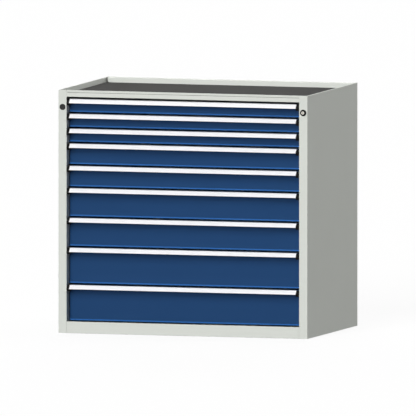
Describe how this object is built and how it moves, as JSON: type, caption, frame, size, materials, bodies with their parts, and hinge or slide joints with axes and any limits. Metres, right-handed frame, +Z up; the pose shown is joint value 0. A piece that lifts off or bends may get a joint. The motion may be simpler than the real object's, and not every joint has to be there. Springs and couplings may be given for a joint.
{
  "type": "industrial drawer cabinet",
  "caption": "Steel workshop drawer cabinet with a rimmed, rubber-matted top, full-width drawers on roller runners, sloping grip strips and a central bar lock.",
  "frame": {"origin": "on the floor, under the middle of the cabinet's box at rest", "axes": "+Z up, +X to the right seen from the front, +Y towards the back; the drawers open along -Y"},
  "size_m": [1.046, 0.7, 0.98],
  "materials": {
    "grey_paint": "light grey powder coat, fine texture, satin",
    "blue_paint": "gentian blue powder coat, fine texture, satin",
    "box_paint": "light grey powder coat inside the drawers",
    "anodised": "natural anodised extrusion, fine lengthways grain",
    "zinc_steel": "bright zinc plate",
    "black_plastic": "moulded black plastic",
    "mat_rubber": "dark grey ribbed rubber mat",
    "nickel": "nickel-plated lock core"
  },
  "bodies": {
    "cabinet": {"side_panel_left": "grey_paint", "side_panel_right": "grey_paint", "back_panel": "grey_paint", "base_panel": "grey_paint", "plinth": "grey_paint", "top_rail": "grey_paint", "top_tray": "grey_paint", "rubber_mat": "mat_rubber", "blind_plug": "black_plastic", "lock_housing": "black_plastic", "lock_nut": "zinc_steel", "runner_1_left": "zinc_steel", "runner_1_right": "zinc_steel", "runner_2_left": "zinc_steel", "runner_2_right": "zinc_steel", "runner_3_left": "zinc_steel", "runner_3_right": "zinc_steel", "runner_4_left": "zinc_steel", "runner_4_right": "zinc_steel", "runner_5_left": "zinc_steel", "runner_5_right": "zinc_steel", "runner_6_left": "zinc_steel", "runner_6_right": "zinc_steel", "runner_7_left": "zinc_steel", "runner_7_right": "zinc_steel", "runner_8_left": "zinc_steel", "runner_8_right": "zinc_steel", "runner_9_left": "zinc_steel", "runner_9_right": "zinc_steel"},
    "drawer_1": {"drawer_1_box": "box_paint", "drawer_1_front": "blue_paint", "drawer_1_handle": "anodised"},
    "drawer_2": {"drawer_2_box": "box_paint", "drawer_2_front": "blue_paint", "drawer_2_handle": "anodised"},
    "drawer_3": {"drawer_3_box": "box_paint", "drawer_3_front": "blue_paint", "drawer_3_handle": "anodised"},
    "drawer_4": {"drawer_4_box": "box_paint", "drawer_4_front": "blue_paint", "drawer_4_handle": "anodised"},
    "drawer_5": {"drawer_5_box": "box_paint", "drawer_5_front": "blue_paint", "drawer_5_handle": "anodised"},
    "drawer_6": {"drawer_6_box": "box_paint", "drawer_6_front": "blue_paint", "drawer_6_handle": "anodised"},
    "drawer_7": {"drawer_7_box": "box_paint", "drawer_7_front": "blue_paint", "drawer_7_handle": "anodised"},
    "drawer_8": {"drawer_8_box": "box_paint", "drawer_8_front": "blue_paint", "drawer_8_handle": "anodised"},
    "drawer_9": {"drawer_9_box": "box_paint", "drawer_9_front": "blue_paint", "drawer_9_handle": "anodised"},
    "lock_cylinder": {"lock_cylinder": "nickel", "lock_cam": "zinc_steel"},
    "lock_bar": {"lock_bar": "zinc_steel"}
  },
  "joints": [
    {"name": "drawer_1_slide", "type": "slide", "parent": "cabinet", "child": "drawer_1", "axis": [0, -1, 0], "range_m": [0, 0.48]},
    {"name": "drawer_2_slide", "type": "slide", "parent": "cabinet", "child": "drawer_2", "axis": [0, -1, 0], "range_m": [0, 0.48]},
    {"name": "drawer_3_slide", "type": "slide", "parent": "cabinet", "child": "drawer_3", "axis": [0, -1, 0], "range_m": [0, 0.48]},
    {"name": "drawer_4_slide", "type": "slide", "parent": "cabinet", "child": "drawer_4", "axis": [0, -1, 0], "range_m": [0, 0.48]},
    {"name": "drawer_5_slide", "type": "slide", "parent": "cabinet", "child": "drawer_5", "axis": [0, -1, 0], "range_m": [0, 0.48]},
    {"name": "drawer_6_slide", "type": "slide", "parent": "cabinet", "child": "drawer_6", "axis": [0, -1, 0], "range_m": [0, 0.48]},
    {"name": "drawer_7_slide", "type": "slide", "parent": "cabinet", "child": "drawer_7", "axis": [0, -1, 0], "range_m": [0, 0.48]},
    {"name": "drawer_8_slide", "type": "slide", "parent": "cabinet", "child": "drawer_8", "axis": [0, -1, 0], "range_m": [0, 0.48]},
    {"name": "drawer_9_slide", "type": "slide", "parent": "cabinet", "child": "drawer_9", "axis": [0, -1, 0], "range_m": [0, 0.48]},
    {"name": "lock_turn", "type": "hinge", "parent": "cabinet", "child": "lock_cylinder", "pos_m": [0.5055, -0.32, 0.9115], "axis": [0, 1, 0], "range_deg": [0, 90]},
    {"name": "lock_bar_slide", "type": "slide", "parent": "cabinet", "child": "lock_bar", "axis": [0, 0, 1], "range_m": [0, 0.01202]}
  ],
  "couplings": [
    {"joint": "lock_turn", "follows": "lock_bar_slide", "rad_per_m": 130.67}
  ]
}
